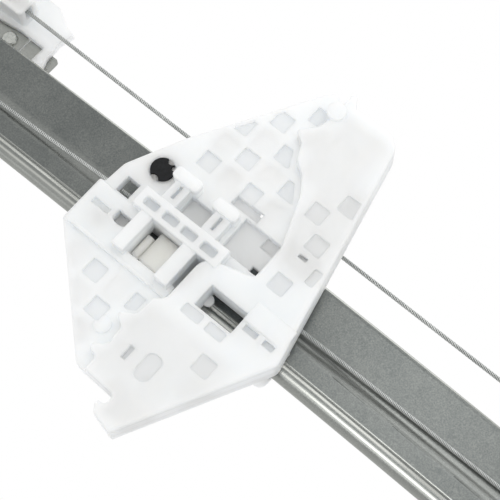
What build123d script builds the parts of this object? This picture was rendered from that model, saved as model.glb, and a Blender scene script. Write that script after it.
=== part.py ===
"""Cable-driven window regulator: one curved rail, a moulded glass carrier, a wire
rope round two pulleys and a rope drum beside the rail, supplied without its motor.

Frame: +Z up the rail, +X across it towards the drum, +Y inboard (away from the
glass).  The origin is midway between the two door fixing holes, in the plane that
the mounting feet bolt against.  All sizes are millimetres.
"""
from build123d import *
from math import acos, asin, atan2, cos, degrees, hypot, radians, sin, tan
import os

# ---------------------------------------------------------------- driving sizes
RAIL_RADIUS = 1450.0        # bow of the rail's front face, to match the glass
RAIL_WIDTH = 36.0           # across the rail, side flange to rolled bead
RAIL_CURVED = 440.0         # length of the curved, profiled part along the arc
END_LENGTH = 50.0           # flat plate beyond the curved part, at each end
END_TILT = 3.0              # lean of the flat ends, in degrees
SHEET = 1.2                 # galvanised sheet of the rail
FLANGE_DEPTH = 10.0         # side flange, turned back on the drum side
STEP_RISE = 1.2             # shallow step that stiffens the face
STEP_X = (-1.6, -4.6)       # the step's bend lines
BEAD_HEIGHT = 4.2           # rolled guide bead, from its back to its crest
BEAD_CREST_X = -14.0        # where the bead's crest turns down again
BEAD_LIP_X = -11.9          # free edge of the rolled sheet
STANDOFF = 40.0             # rail face to the door fixing plane, at mid rail

ROPE_DIAMETER = 1.5
PULLEY_PITCH_RADIUS = 14.25
PULLEY_RADIUS = 16.4
PULLEY_THICKNESS = 5.0
PULLEY_BORE_RADIUS = 3.05
PULLEY_LIFT = 1.0           # pulley's back face above the end plate
PULLEY_INSET = 25.0         # pulley axis beyond the start of the end plate
UPPER_PULLEY_X = 9.05
LOWER_PULLEY_X = 18.45

DRUM_ARC = 158.0            # drum axis above mid rail, along the arc
DRUM_TILT = 3.0             # lean of the drum, in degrees
DRUM_PITCH_RADIUS = 24.0
DRUM_GROOVES = 5
GROOVE_PITCH = 1.8
DRUM_FLANGE = 1.0           # thickness of the drum's two end flanges
DRUM_FLANGE_RISE = 2.0      # and their height over the rope's pitch circle
FIRST_GROOVE = -1.1         # front groove, from the rail face beside the drum
SPLINE_RADIUS = 5.0
SPLINE_KEYS = 6

RUNNING_GAP = 0.05          # radial, shaft in hole
FIT_GAP = 0.15              # between parts that seat in each other
SLIDE_GAP = 0.35            # guide shoes to rail, and other moving faces
END_PLAY = 0.5              # between the drum's front flange and its housing
CUP_GAP = 1.0               # radial, between the drum's flanges and its housing

CARRIER_BACK = 7.5          # carrier levels, in front of the rail face
CARRIER_WEB = 12.0
CARRIER_TOP = 17.0
MOULD_WALL = 1.5
WAFFLE_PITCH = (9.0, 9.2)
WAFFLE_SQUARE = 6.4

FIXING_PITCH = 560.0        # between the two door fixing holes
FIXING_HOLE_RADIUS = 3.3
BRACKET_SHEET = 2.0
BRACKET_WIDTH = 26.0
BRACKET_X = -4.0            # middle of the bracket across the rail

MOTOR_PCD = 68.0            # three screw posts round the drum
MOTOR_SCREW_RADIUS = 2.6
MOTOR_POST_ANGLES = (-78.0, 42.0, 162.0)

# ---------------------------------------------------------------- derived places
rope_radius = ROPE_DIAMETER / 2
axis_y = RAIL_RADIUS - STANDOFF
bow_axis = Axis((0, axis_y, 0), (1, 0, 0))
half_curve = RAIL_CURVED / 2
end_angle = half_curve / RAIL_RADIUS
half_width = RAIL_WIDTH / 2
groove_height = PULLEY_LIFT + PULLEY_THICKNESS / 2
rope_side_x = LOWER_PULLEY_X + PULLEY_PITCH_RADIUS
drum_x = rope_side_x + DRUM_PITCH_RADIUS
groove_down = FIRST_GROOVE
groove_up = FIRST_GROOVE - (DRUM_GROOVES - 1) * GROOVE_PITCH
drum_front = groove_down + GROOVE_PITCH / 2 + DRUM_FLANGE
drum_back = groove_up - GROOVE_PITCH / 2 - DRUM_FLANGE
cup_front = drum_front + END_PLAY
cup_back = drum_back - 2 * END_PLAY
drum_flange_radius = DRUM_PITCH_RADIUS + DRUM_FLANGE_RISE
cup_inner = drum_flange_radius + CUP_GAP


def on_rail(arc):
    """Plane on the rail's face: x across, y up the rail, z out of the face."""
    a = arc / RAIL_RADIUS
    centre = (0, axis_y - RAIL_RADIUS * cos(a), RAIL_RADIUS * sin(a))
    return Plane(origin=centre, x_dir=(1, 0, 0), z_dir=(0, -cos(a), sin(a)))


def leaning(arc, tilt):
    """Plane through the rail's face at some arc, with a lean of its own."""
    t = radians(tilt)
    return Plane(origin=on_rail(arc).origin, x_dir=(1, 0, 0), z_dir=(0, -cos(t), sin(t)))


mid_plane = on_rail(0)
upper_plane = leaning(half_curve, END_TILT)
lower_plane = leaning(-half_curve, -END_TILT)
drum_plane = leaning(DRUM_ARC, DRUM_TILT)


def place(plane, shape):
    """A shape drawn in rail-face coordinates, moved to its place on the rail."""
    return plane.location * shape


def to_world(plane, x, y, z):
    """A point given in rail-face coordinates, in the frame of the whole."""
    return plane.from_local_coords(Vector(x, y, z))


def pulley_frame(up):
    """End plane, and the pulley's place on it, of the upper or lower end."""
    if up > 0:
        return upper_plane, UPPER_PULLEY_X, PULLEY_INSET
    return lower_plane, LOWER_PULLEY_X, -PULLEY_INSET


def slab(sketch, low, high):
    """A flat sketch as a plate between two heights above the rail face."""
    return extrude(Pos(0, 0, low) * sketch, high - low)


def box(x0, x1, y0, y1, z0, z1):
    """A block between its corner coordinates."""
    centre = ((x0 + x1) / 2, (y0 + y1) / 2, (z0 + z1) / 2)
    return Pos(*centre) * Box(abs(x1 - x0), abs(y1 - y0), abs(z1 - z0))


def rod(x, y, radius, low, high):
    """A round bar standing on the rail face."""
    return Pos(x, y, (low + high) / 2) * Cylinder(radius, high - low)


def ring(x, y, outer, inner, low, high):
    """A tube standing on the rail face."""
    return rod(x, y, outer, low, high) - rod(x, y, inner, low - 1, high + 1)


def rounded_outline(corners):
    """A face from (x, y, corner radius) triples, sharp where the radius is 0."""
    face = make_face(Polyline([(x, y) for x, y, _ in corners], close=True))
    for x, y, radius in corners:
        if radius > 0:
            vertex = face.vertices().sort_by_distance((x, y, 0))[0]
            face = fillet(vertex, radius)
    return face


def strip(points, radii, thickness):
    """Section of bent sheet about a centre line, in the XY plane."""
    line = FilletPolyline(*points, radius=radii)
    return make_face(offset(line, thickness / 2, side=Side.BOTH))


# ---------------------------------------------------------------- rail
END_OVERLAP = 0.5           # root of a flat end inside the curved part
EAR_MARGIN = 3.0            # end plate round the pulley's rim
RIVET_RADIUS = 2.4
PIN_SHANK_RADIUS = 2.6
PIN_TAIL_RADIUS = 4.4
LUG_SPAN = (-51.4, -12.5)   # drum side lug of the rail, from the drum's axis
LUG_REACH = 9.1             # how far the lug stands out of the side flange
HOOK_ROOT = 3.1             # height of the hook's foot along the rail
HOOK_TIP = 4.7              # height of the hook's tip
HOOK_LEG = 2.9              # width of its leg
HOOK_GAP = 0.8              # slot between the hook and the flange
HOOK_THROAT = 1.6           # clear height over the hook's tip
LUG_SLOT = (14.4, 1.0)      # cut in the lug's edge: height up the lug, and width
HOUSING_RIVETS = ((22.4, -30.5), (22.4, -19.5))
HOUSING_RIVET_RADIUS = 1.9


def rail_section():
    """Flanged and stepped sheet with a rolled bead; x across, y out of the face."""
    t = SHEET / 2
    step = STEP_RISE
    points = [
        (half_width - t, -FLANGE_DEPTH),
        (half_width - t, -t),
        (STEP_X[0], -t),
        (STEP_X[1], step - t),
        (-half_width + t, step - t),
        (-half_width + t, BEAD_HEIGHT - t),
        (BEAD_CREST_X, BEAD_HEIGHT - t),
        (BEAD_LIP_X, step + t + FIT_GAP),
    ]
    bead_bend = (BEAD_HEIGHT - step) / 2 - 0.05
    return strip(points, [SHEET * 1.3, 3.0, 3.0, bead_bend, bead_bend, SHEET], SHEET)


def end_plate_outline(pulley_x, up):
    """Flat end of the rail, widened into an ear that carries the pulley."""
    root = -END_OVERLAP * up
    body = [(-half_width, root), (half_width - 2, root),
            (half_width - 2, END_LENGTH * up), (-half_width + 8, END_LENGTH * up),
            (-half_width, (END_LENGTH - 10) * up)]
    plate = Polyline(body, close=True)
    ear = Pos(pulley_x, PULLEY_INSET * up) * CenterArc((0, 0), PULLEY_RADIUS + EAR_MARGIN, 0, 360)
    return make_hull(plate.edges() + ear.edges())


def rivet_places(up):
    """Two rivets that hold a mounting bracket behind an end plate."""
    return [(-half_width + 6, 10 * up), (-half_width + 6, (END_LENGTH - 14) * up)]


def make_rail():
    section = Pos(0, -STANDOFF) * mirror(rail_section(), Plane.XZ)
    section = section.rotate(bow_axis, -degrees(end_angle))
    rail = revolve(section, bow_axis, 2 * degrees(end_angle))
    for plane, pulley_x, up in ((upper_plane, UPPER_PULLEY_X, 1),
                                (lower_plane, LOWER_PULLEY_X, -1)):
        end = slab(end_plate_outline(pulley_x, up), -SHEET, 0)
        end += box(-half_width, STEP_X[1], -END_OVERLAP, END_OVERLAP, -SHEET, STEP_RISE)
        end -= rod(pulley_x, PULLEY_INSET * up, PIN_SHANK_RADIUS, -SHEET - 1, 1)
        for x, y in rivet_places(up):
            end -= rod(x, y, RIVET_RADIUS, -SHEET - 1, 1)
        rail += place(plane, end)
    return rail + place(drum_plane, make_lug())


def make_lug():
    """Ear turned out of the side flange, with a hook that locates the housing."""
    low, high = LUG_SPAN
    x0 = half_width - SHEET
    x1 = half_width + LUG_REACH
    hook = low + HOOK_TIP
    hook_back = half_width + HOOK_GAP
    leg = x1 - HOOK_LEG
    outline = [
        (x0, low, 0), (x1, low, 1.4), (x1, hook, 1.4), (leg, hook, 0.5), (leg, low + HOOK_ROOT, 0.5),
        (hook_back, low + HOOK_ROOT, 0.5), (hook_back, hook + HOOK_THROAT, 0),
        (x1, hook + HOOK_THROAT, 1.0), (x1, high, 3.0), (x0, high, 0),
    ]
    lug = slab(rounded_outline(outline), -FLANGE_DEPTH - SHEET, -FLANGE_DEPTH)
    slot_y, slot_width = low + LUG_SLOT[0], LUG_SLOT[1]
    lug -= box(hook_back, x1 + 1, slot_y, slot_y + slot_width, -FLANGE_DEPTH - 2, 0)
    for x, y in HOUSING_RIVETS:
        lug -= rod(x, y, HOUSING_RIVET_RADIUS, -FLANGE_DEPTH - 2, 0)
    flange = box(x0, half_width, low, high, -FLANGE_DEPTH - SHEET / 2, -FLANGE_DEPTH + 3)
    return lug + flange


# ---------------------------------------------------------------- end brackets
def beside_end(up, along, height):
    """(y, z) of a place along a flat end, at some height over its face."""
    plane = upper_plane if up > 0 else lower_plane
    point = to_world(plane, 0, along * up, height)
    return (point.Y, point.Z)


def make_bracket(up):
    """Cranked steel foot riveted behind an end plate and bolted to the door."""
    plane, pulley_x, pulley_y = pulley_frame(up)
    t = BRACKET_SHEET / 2
    hole_z = up * FIXING_PITCH / 2
    half_foot = 12.0
    back = -SHEET - t
    line = [beside_end(up, 2, back), beside_end(up, END_LENGTH - 4, back),
            (-t, hole_z - up * half_foot), (-t, hole_z + up * half_foot)]
    path = strip(line, BRACKET_SHEET * 2, BRACKET_SHEET)
    bracket = Pos(BRACKET_X) * extrude(Plane.YZ * path, BRACKET_WIDTH / 2, both=True)
    bracket -= Pos(0, 0, hole_z) * Rot(90, 0, 0) * Cylinder(FIXING_HOLE_RADIUS, 20)
    for x, y in rivet_places(up):
        bracket -= place(plane, rod(x, y, RIVET_RADIUS, -SHEET - 5, 0))
    return bracket - place(plane, rod(pulley_x, pulley_y, PIN_TAIL_RADIUS + 0.8, -SHEET - 5, 0))


def make_bracket_rivets():
    """Four domed rivets, two at each end."""
    rivets = []
    grip_back = -SHEET - BRACKET_SHEET
    for plane, up in ((upper_plane, 1), (lower_plane, -1)):
        for x, y in rivet_places(up):
            shank = rod(x, y, RIVET_RADIUS, grip_back, 0)
            head = rod(x, y, RIVET_RADIUS * 1.8, 0, 1.1)
            head = chamfer(head.edges().sort_by(Axis.Z)[-1], 0.7)
            tail = rod(x, y, RIVET_RADIUS * 1.6, grip_back - 1.4, grip_back)
            rivets.append(place(plane, shank + head + tail))
    return rivets


# ---------------------------------------------------------------- pulleys
HUB_RADIUS = 6.0
WEB_DISH = 1.2              # how far the pulley's web lies below its faces
WEB_HOLES = 6
WEB_HOLE_RADIUS = 1.6
PIN_HEAD = (5.4, 1.4)       # radius and thickness of the pulley pin's head
KEEPER_FLOOR = 0.7
KEEPER_WALL = 1.8
KEEPER_GAP = 0.8


def make_pulley(up):
    """Grooved pulley: turned profile with a dished web and lightening holes."""
    plane, x, y = pulley_frame(up)
    half = PULLEY_THICKNESS / 2
    groove_floor = PULLEY_PITCH_RADIUS - rope_radius - RUNNING_GAP
    web_edge = groove_floor - 2.0
    profile = [
        (PULLEY_BORE_RADIUS, -half), (HUB_RADIUS, -half), (HUB_RADIUS, -half + WEB_DISH),
        (web_edge, -half + WEB_DISH), (web_edge, -half),
        (PULLEY_RADIUS, -half), (PULLEY_RADIUS, -half + 0.8),
        (groove_floor, -rope_radius), (groove_floor, rope_radius),
        (PULLEY_RADIUS, half - 0.8), (PULLEY_RADIUS, half),
        (web_edge, half), (web_edge, half - WEB_DISH),
        (HUB_RADIUS, half - WEB_DISH), (HUB_RADIUS, half), (PULLEY_BORE_RADIUS, half),
    ]
    face = make_face(Polyline(profile, close=True))
    pulley = revolve(Plane.XZ * face, Axis.Z)
    for i in range(WEB_HOLES):
        turned = Rot(0, 0, (i + 0.5) * 360 / WEB_HOLES)
        pulley -= turned * rod((HUB_RADIUS + web_edge) / 2, 0, WEB_HOLE_RADIUS, -half, half)
    return place(plane, Pos(x, y, groove_height) * pulley)


def make_pulley_pin(up):
    """Shouldered pin riveted into the end plate; its head keeps the pulley on."""
    plane, x, y = pulley_frame(up)
    top = PULLEY_LIFT + PULLEY_THICKNESS + 0.3
    journal = PULLEY_BORE_RADIUS - RUNNING_GAP
    pin = rod(x, y, PIN_SHANK_RADIUS, -SHEET, 0)
    pin += rod(x, y, PIN_TAIL_RADIUS, -SHEET - 1.3, -SHEET)
    pin += rod(x, y, PIN_TAIL_RADIUS, KEEPER_FLOOR, PULLEY_LIFT - 0.15)
    pin += rod(x, y, journal, 0, top)
    head = rod(x, y, PIN_HEAD[0], top, top + PIN_HEAD[1])
    pin += chamfer(head.edges().sort_by(Axis.Z)[-1], 0.6)
    return place(plane, pin)


def make_keeper(up):
    """Moulded shell under the pulley: its rim keeps a slack rope in the groove."""
    plane, x, y = pulley_frame(up)
    inner = PULLEY_RADIUS + KEEPER_GAP
    outer = inner + KEEPER_WALL
    journal = PULLEY_BORE_RADIUS - RUNNING_GAP
    top = PULLEY_LIFT + PULLEY_THICKNESS + 0.5
    shell = rod(x, y, outer, 0, KEEPER_FLOOR) + ring(x, y, outer, inner, 0, top)
    shell -= rod(x, y, journal + FIT_GAP, -1, 2)
    shell -= box(x - outer - 1, x + outer + 1, y, y - up * (outer + 1), KEEPER_FLOOR, top + 1)
    lip = ring(x, y, outer, PULLEY_RADIUS - 0.9, top - 0.01, top + 1.0)
    lip &= box(x - 8, x + 8, y, y + up * (outer + 1), 0, top + 2)
    return place(plane, shell + lip)


# ---------------------------------------------------------------- rope
def tube(points, radii=None):
    """A plain round rope along straight runs joined by tangent arcs."""
    if radii:
        path = FilletPolyline(*points, radius=radii)
    else:
        path = Line(*points)
    start = Plane(origin=path @ 0, z_dir=path % 0)
    return sweep(start * Circle(rope_radius), path=path)


# the rope leans a little across the rail, from the lower pulley to the upper one
rope_lower_x = LOWER_PULLEY_X - PULLEY_PITCH_RADIUS
rope_upper_x = UPPER_PULLEY_X - PULLEY_PITCH_RADIUS
lower_tangent = to_world(lower_plane, rope_lower_x, -PULLEY_INSET, groove_height)
upper_tangent = to_world(upper_plane, rope_upper_x, PULLEY_INSET, groove_height)
CHAMBER_ROPE_HEIGHT = 4.4   # rope height above the rail face inside the carrier


def rope_x_at(z):
    """Where the straight rope between the pulleys crosses a height of the rail."""
    share = (z - lower_tangent.Z) / (upper_tangent.Z - lower_tangent.Z)
    return rope_lower_x + share * (rope_upper_x - rope_lower_x)


turn_radius = PULLEY_PITCH_RADIUS - 0.05
DRUM_LEAD = 7.0             # rope stays in its drum groove this far
PULLEY_LEAD = 1.0           # and in its pulley groove this far
LEAD_RADIUS = 15.0          # slight bend between the two
ROPE_JOINT = 0.08           # gap between a rope's held and moving lengths


def make_down_rope():
    """From the drum straight down beside the rail and round the lower pulley."""
    y = -PULLEY_INSET - PULLEY_PITCH_RADIUS
    points = [
        to_world(drum_plane, rope_side_x, 0, groove_down),
        to_world(drum_plane, rope_side_x, -DRUM_LEAD, groove_down),
        to_world(lower_plane, rope_side_x, PULLEY_LEAD - PULLEY_INSET, groove_height),
        to_world(lower_plane, rope_side_x, y, groove_height),
        to_world(lower_plane, rope_lower_x, y, groove_height),
        lower_tangent,
    ]
    return tube(points, [LEAD_RADIUS, LEAD_RADIUS, turn_radius, turn_radius - 0.05])


def drum_to_pulley_line():
    """Unit normal, from the drum's axis, of the rope's run to the upper pulley."""
    drum = to_world(drum_plane, drum_x, 0, groove_up)
    pulley = to_world(upper_plane, UPPER_PULLEY_X, PULLEY_INSET, groove_height)
    dx, dz = pulley.X - drum.X, pulley.Z - drum.Z
    turn = acos((DRUM_PITCH_RADIUS + PULLEY_PITCH_RADIUS) / hypot(dx, dz))
    normal = atan2(dz, dx) + turn
    return cos(normal), sin(normal)


def make_up_rope():
    """From the drum up to the upper pulley and over it to the rail's middle."""
    nx, ny = drum_to_pulley_line()
    sx = drum_x + DRUM_PITCH_RADIUS * nx
    sy = DRUM_PITCH_RADIUS * ny
    lx = UPPER_PULLEY_X - PULLEY_PITCH_RADIUS * nx
    ly = PULLEY_INSET - PULLEY_PITCH_RADIUS * ny
    top = PULLEY_INSET + PULLEY_PITCH_RADIUS
    corner_x = lx - (top - ly) * ny / nx
    points = [
        to_world(drum_plane, sx, sy, groove_up),
        to_world(drum_plane, sx + DRUM_LEAD * ny, sy - DRUM_LEAD * nx, groove_up),
        to_world(upper_plane, lx - PULLEY_LEAD * ny, ly + PULLEY_LEAD * nx, groove_height),
        to_world(upper_plane, corner_x, top, groove_height),
        to_world(upper_plane, rope_upper_x, top, groove_height),
        upper_tangent,
    ]
    return tube(points, [LEAD_RADIUS, LEAD_RADIUS, turn_radius, turn_radius - 0.05])


# ---------------------------------------------------------------- carrier
# Outline of the moulding in rail-face coordinates: across, up, corner radius.
CARRIER_OUTLINE = (
    (-22.6, 50.8, 1.2), (-4.5, 50.8, 0.8), (-4.1, 48.9, 0.8), (4.6, 48.2, 6.0),
    (24.6, 38.6, 20.0), (66.8, 13.4, 2.0), (69.6, 10.6, 1.6), (67.4, 5.6, 0.6),
    (70.6, 5.5, 0.6), (71.8, 3.6, 0.6), (67.4, 0.6, 1.0), (67.6, -18.0, 7.5),
    (-17.2, -36.5, 4.5), (-66.4, -10.6, 0.8), (-64.6, -2.8, 0.8), (-62.2, -0.9, 0.8),
    (-60.6, -1.2, 0.4), (-60.7, -4.0, 1.6), (-56.6, -3.6, 1.6), (-56.1, 13.2, 2.5),
)
# Edge of the raised face, from the drum side wing to the far wing.
PLATEAU_EDGE = (
    (75.0, 5.2, 0), (58.6, 5.2, 1.5), (54.4, 6.2, 1.4), (49.0, 11.4, 1.4),
    (46.2, 6.8, 1.5), (40.6, 4.2, 2.0), (37.6, -0.6, 4.0), (31.4, -5.0, 4.0),
    (13.2, -12.0, 5.0), (0.6, -12.2, 2.5), (-1.6, -4.6, 6.0), (-4.4, 4.9, 6.0),
    (-22.6, 4.9, 3.0), (-25.6, 8.3, 2.0), (-32.2, 8.4, 3.0), (-35.9, 14.2, 1.4),
    (-38.9, 9.2, 2.0), (-45.8, 8.9, 2.0), (-49.6, 14.8, 1.4), (-51.0, 9.0, 2.0),
    (-75.0, 7.6, 0), (-75.0, -45.0, 0), (75.0, -45.0, 0),
)
EDGE_ROUND = 1.0            # rounded rim of the raised face
WEB_POCKET = 0.9            # depth of the squares in front of the recessed web
FACE_POCKET = 0.6           # and of those in front of the raised face
FACE_WALL = 2.2             # raised face over the squares cored from behind
SLOT_DEPTH = 1.4
# Squares of the recessed web: first column and row, their numbers, and the area kept to.
WEB_SQUARES = (
    (23.0, -9.6, 5, 5, (19.0, 71.0, -15.0, 45.0)),
    (-47.4, 11.6, 3, 4, (-62.4, -24.4, -5.0, 55.0)),
)
FACE_SQUARES = (
    # middle, size and corner radius of the shallow patches in the raised face
    (3.8, -19.7, WAFFLE_SQUARE, WAFFLE_SQUARE, 0.8), (21.3, -20.4, WAFFLE_SQUARE, WAFFLE_SQUARE, 0.8),
    (30.0, -13.4, WAFFLE_SQUARE, WAFFLE_SQUARE, 0.8), (38.4, -20.2, WAFFLE_SQUARE, WAFFLE_SQUARE, 0.8),
    (-31.9, -19.2, WAFFLE_SQUARE, WAFFLE_SQUARE, 0.8), (12.2, -26.6, 6.0, 3.2, 0.8),
    (-43.3, -6.2, 9.8, 6.0, 2.6), (-21.2, -5.0, 3.6, 7.6, 0.8), (-21.2, -14.5, 3.6, 7.0, 0.8),
)
FACE_SLOTS = (
    (-43.7, 1.9, 5.0, 1.9, 0.4), (15.3, -19.6, 1.6, 3.4, 0.4),
    (-14.1, -22.9, 2.2, 5.4, 0.4), (-14.1, -30.1, 2.2, 4.2, 0.4),
)
WINDOW = (-18.5, -10.0, -18.5, -3.4)        # x0, x1, y0, y1: view to the rail
WINDOW_BLOCK = (-25.5, 6.5, -38.0, 10.0)    # left solid round the window
TONGUE = (-12.9, -3.8, 1.9)                 # place and radius of a tab behind the window
TONGUE_THICKNESS = 1.6
RAMP = (-12.4, -5.0, -34.3, -18.6)
RAMP_RISE = 0.8
BOSSES = ((62.3, 4.9, 3.4, CARRIER_TOP), (-41.3, 15.6, 3.0, CARRIER_WEB))
BOSS_RISE = 0.7
BUMPER_CENTRE = (11.0, 37.0)
BUMPER_RADIUS = 4.3
BUMPER_RISE = 1.6           # rubber above the web
BUMPER_NOTCH = 1.3
GUIDE_BOX = (-22.6, -5.0, 6.0, 50.0)        # block over the two guide shoes
GUIDE_LEVEL = 13.2
GUIDE_RIDGE = (-22.6, -21.4, 12.0, 46.0)
RIDGE_RISE = 0.8
POCKET_ROOF = CARRIER_TOP - 2.0             # the raised face bridges a pocket under it
POCKETS = (
    # x0, x1, y0, y1, floor height: sunken floors, slots and through holes
    (2.2, 10.4, 12.6, 23.0, 9.0),
    (2.3, 15.6, -10.8, 4.4, 9.6),
    (11.3, 15.6, -9.9, -4.8, 8.6),
    (2.2, 5.0, -10.2, -7.4, 0.0),
    (16.4, 20.3, 0.7, 12.0, 8.7),
    (-4.2, 2.2, 38.8, 44.3, 0.0),
    (-12.9, -10.6, 40.0, 47.2, GUIDE_LEVEL - 1.2),
    (-18.2, -5.3, 13.0, 26.3, 0.0),
    (-17.6, -5.3, 3.4, 7.5, 0.0),
)
HALF_HOLE = (-8.9, 35.1, 4.4, 8.6)          # flat side, middle, radius and floor height
HALF_HOLE_TALL = 5.8


def pane(x0, x1, y0, y1, corner=0.0):
    """A flat rectangle between its corner coordinates, square or rounded."""
    wide, tall = x1 - x0, y1 - y0
    shape = RectangleRounded(wide, tall, corner) if corner else Rectangle(wide, tall)
    return Pos((x0 + x1) / 2, (y0 + y1) / 2) * shape


def grid(start, pitch, count):
    return [start + pitch * i for i in range(count)]


def waffle(columns, rows, width, keep, parity=None):
    """Squares of a grid, all or every other one, that lie mostly inside a face."""
    squares = Sketch()
    for i, x in enumerate(columns):
        for j, y in enumerate(rows):
            square = Pos(x, y) * RectangleRounded(width, width, 0.6)
            clipped = square & keep
            wanted = parity is None or (i + j) % 2 == parity
            if wanted and clipped and clipped.area > square.area / 3:
                squares += clipped
    return squares


def carrier_blank(outline, plateau):
    """The moulding before it is cored: web, raised face, guide block and bosses."""
    raised = slab(plateau, CARRIER_BACK, CARRIER_TOP)
    raised = fillet(raised.faces().sort_by(Axis.Z)[-1].edges(), EDGE_ROUND)
    body = slab(outline, CARRIER_BACK, CARRIER_WEB) + raised
    body += slab(pane(*GUIDE_BOX) & outline, CARRIER_BACK, GUIDE_LEVEL)
    body += box(*GUIDE_RIDGE, GUIDE_LEVEL - 1, GUIDE_LEVEL + RIDGE_RISE)
    for x, y, radius, level in BOSSES:
        body += rod(x, y, radius, CARRIER_BACK, level + BOSS_RISE)
    x0, x1, y0, y1 = RAMP
    side = [(y0, CARRIER_TOP - 1), (y1, CARRIER_TOP - 1), (y1, CARRIER_TOP + RAMP_RISE), (y0, CARRIER_TOP)]
    return body + extrude(Plane.YZ.offset(x0) * make_face(Polyline(side, close=True)), x1 - x0)


def core_web(body, outline):
    """Alternate squares of the recessed web: shallow in front, deep behind."""
    inside = offset(outline, -MOULD_WALL) - offset(rounded_outline(PLATEAU_EDGE), MOULD_WALL * 1.5)
    for x, y, columns, rows, area in WEB_SQUARES:
        cells = (grid(x, WAFFLE_PITCH[0], columns), grid(y, WAFFLE_PITCH[1], rows),
                 WAFFLE_SQUARE, inside & pane(*area))
        body -= slab(waffle(*cells, 0), CARRIER_WEB - WEB_POCKET, CARRIER_WEB + 1)
        body -= slab(waffle(*cells, 1), CARRIER_BACK - 1, CARRIER_WEB - MOULD_WALL)
    return body


def core_raised_face(body, plateau):
    """Deep squares cored from behind, shallow patches and slots in front."""
    inside = offset(plateau, -MOULD_WALL)
    behind = waffle(grid(-58.0, WAFFLE_PITCH[0], 15), grid(-31.2, WAFFLE_PITCH[1], 5),
                    WAFFLE_PITCH[0] - MOULD_WALL, inside - pane(*WINDOW_BLOCK))
    body -= slab(behind, CARRIER_BACK - 1, CARRIER_TOP - FACE_WALL)
    for patches, depth in ((FACE_SQUARES, FACE_POCKET), (FACE_SLOTS, SLOT_DEPTH)):
        for x, y, wide, tall, corner in patches:
            patch = Pos(x, y) * RectangleRounded(wide, tall, corner)
            body -= slab(patch & inside, CARRIER_TOP - depth, CARRIER_TOP + 1)
    return body


def cut_openings(body):
    """Window to the rail, sunken floors, slots and the bumper's hole."""
    for x0, x1, y0, y1, floor in POCKETS:
        body -= box(x0, x1, y0, y1, floor, POCKET_ROOF)
    body -= slab(pane(*WINDOW, 0.4), 0, CARRIER_TOP + 2)
    body += rod(*TONGUE, CARRIER_BACK, CARRIER_BACK + TONGUE_THICKNESS)
    x, y, radius, floor = HALF_HOLE
    half_tall = HALF_HOLE_TALL / 2
    half = Pos(x, y) * Circle(radius) & pane(x - radius * 2, x, y - half_tall, y + half_tall)
    body -= slab(half, floor, CARRIER_TOP)
    return body - rod(*BUMPER_CENTRE, BUMPER_RADIUS, CARRIER_BACK - 1, CARRIER_TOP)


# ---------------------------------------------------------------- rope anchorage
CHAMBER_TOP = 7.1           # roof of the two rope chambers behind the ladder
CHAMBER_HALF_WIDTH = 2.6
CHAMBERS = ((1.0, 16.6), (18.0, 33.4))
CHAMBER_BACK = 1.7
CHAMBER_BLOCK = (-5.3, 3.7, -0.6, 35.0)
NIPPLE_RADIUS = 2.1
NIPPLE_LENGTH = 5.0
SPRING_RADIUS = 1.9         # coil centre line
SPRING_WIRE = 0.35
SPRING_TURNS = 5
LADDER = (-5.3, 2.0, -0.6, 35.0)
LADDER_TOP = CARRIER_TOP + 0.6
LADDER_WINDOWS = ((2.0, 8.2), (10.4, 16.5), (18.3, 24.4), (26.6, 32.5))
LADDER_WINDOW_X = (-3.5, -0.3)
LADDER_WINDOW_DEPTH = 2.6
POSTS = ((23.3, 29.3, 21.2, 31.8), (6.1, 12.3, 5.0, 14.8))   # stem and head heights
POST_STEM_X = (1.8, 10.6)
POST_STEM_TOP = LADDER_TOP - 1.0
POST_HEAD_X = (10.0, 14.3)
POST_SLOT = (4.0, 9.1, 1.2, 3.0)            # x0, x1, width and depth
LEGS = ((26.3, 31.0), (7.6, 12.9))
LEG_X = (-19.8, -5.1)
LEG_TOP = LADDER_TOP - 0.4
NIPPLE_ENDS = (11.2, 23.0)  # rope side face of the lower and upper nipple
ROPE_REST_HEIGHT = 2.4      # rope over the rail's face on its free runs

chamber_x = rope_x_at(sum(CHAMBER_BLOCK[2:]) / 2)


def make_chambers(body):
    """Two chambers behind the ladder that hold the springs and rope ends."""
    body += box(*CHAMBER_BLOCK, CHAMBER_BACK, CARRIER_BACK + 1)
    x0 = chamber_x - CHAMBER_HALF_WIDTH
    x1 = chamber_x + CHAMBER_HALF_WIDTH
    for y0, y1 in CHAMBERS:
        body -= box(x0, x1, y0, y1, CHAMBER_BACK - 1, CHAMBER_TOP)
    slot = rope_radius + 0.5
    for y0, y1 in ((CHAMBER_BLOCK[2] - 1, CHAMBERS[0][0] + 1),
                   (CHAMBERS[1][1] - 1, CHAMBER_BLOCK[3] + 1)):
        body -= box(chamber_x - slot, chamber_x + slot, y0, y1,
                    CHAMBER_BACK - 1, CHAMBER_ROPE_HEIGHT + slot)
    return body


def make_ladder(body):
    """Ladder of four windows over the chambers, with two T-posts and two legs."""
    body += box(*LADDER, CARRIER_BACK, LADDER_TOP)
    slot_x0, slot_x1, slot_width, slot_depth = POST_SLOT
    for s0, s1, h0, h1 in POSTS:
        body += box(*POST_STEM_X, s0, s1, CARRIER_BACK, POST_STEM_TOP)
        body += slab(pane(*POST_HEAD_X, h0, h1, 1.4), CARRIER_BACK, LADDER_TOP)
        slot_y = (s0 + s1 - slot_width) / 2
        body -= box(slot_x0, slot_x1, slot_y, slot_y + slot_width,
                    POST_STEM_TOP - slot_depth, POST_STEM_TOP + 1)
    for l0, l1 in LEGS:
        body += box(*LEG_X, l0, l1, CARRIER_BACK, LEG_TOP)
    for w0, w1 in LADDER_WINDOWS:
        body -= slab(pane(*LADDER_WINDOW_X, w0, w1, 0.9), LADDER_TOP - LADDER_WINDOW_DEPTH, LADDER_TOP + 1)
    return body


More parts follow.
